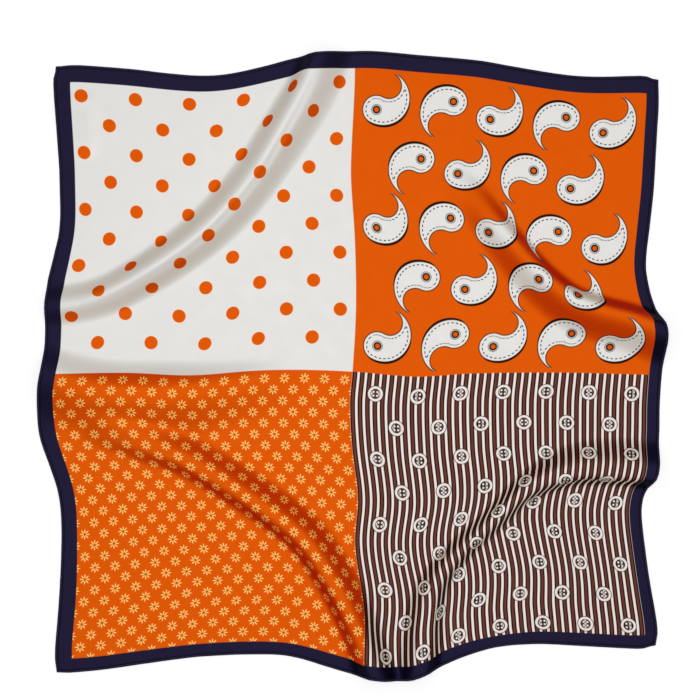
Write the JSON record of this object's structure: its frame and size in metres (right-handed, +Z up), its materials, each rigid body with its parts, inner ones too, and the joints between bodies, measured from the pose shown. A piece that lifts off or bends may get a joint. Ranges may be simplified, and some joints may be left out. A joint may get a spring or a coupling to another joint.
{
  "type": "silk square scarf",
  "caption": "Square silk scarf with rolled hems, laid flat face up, with soft diagonal folds around its corners and a sewn-in label under one edge.",
  "frame": {"origin": "middle of the scarf's outline in plan, on the surface it lies on", "axes": "+Z up, out of the printed face; +Y towards the edge above the dotted and motif quarters; +X towards the right-hand edge seen from above"},
  "size_m": [0.7, 0.7018, 0.0244],
  "materials": {
    "silk_print": "printed silk twill, soft sheen",
    "silk_hem": "navy silk twill, rolled and hand stitched",
    "label_satin": "plain woven satin ribbon, blank"
  },
  "bodies": {
    "root": {"panel": "silk_print", "hem_top": "silk_hem", "hem_right": "silk_hem", "hem_bottom": "silk_hem", "hem_left": "silk_hem", "care_label": "label_satin"}
  },
  "joints": []
}
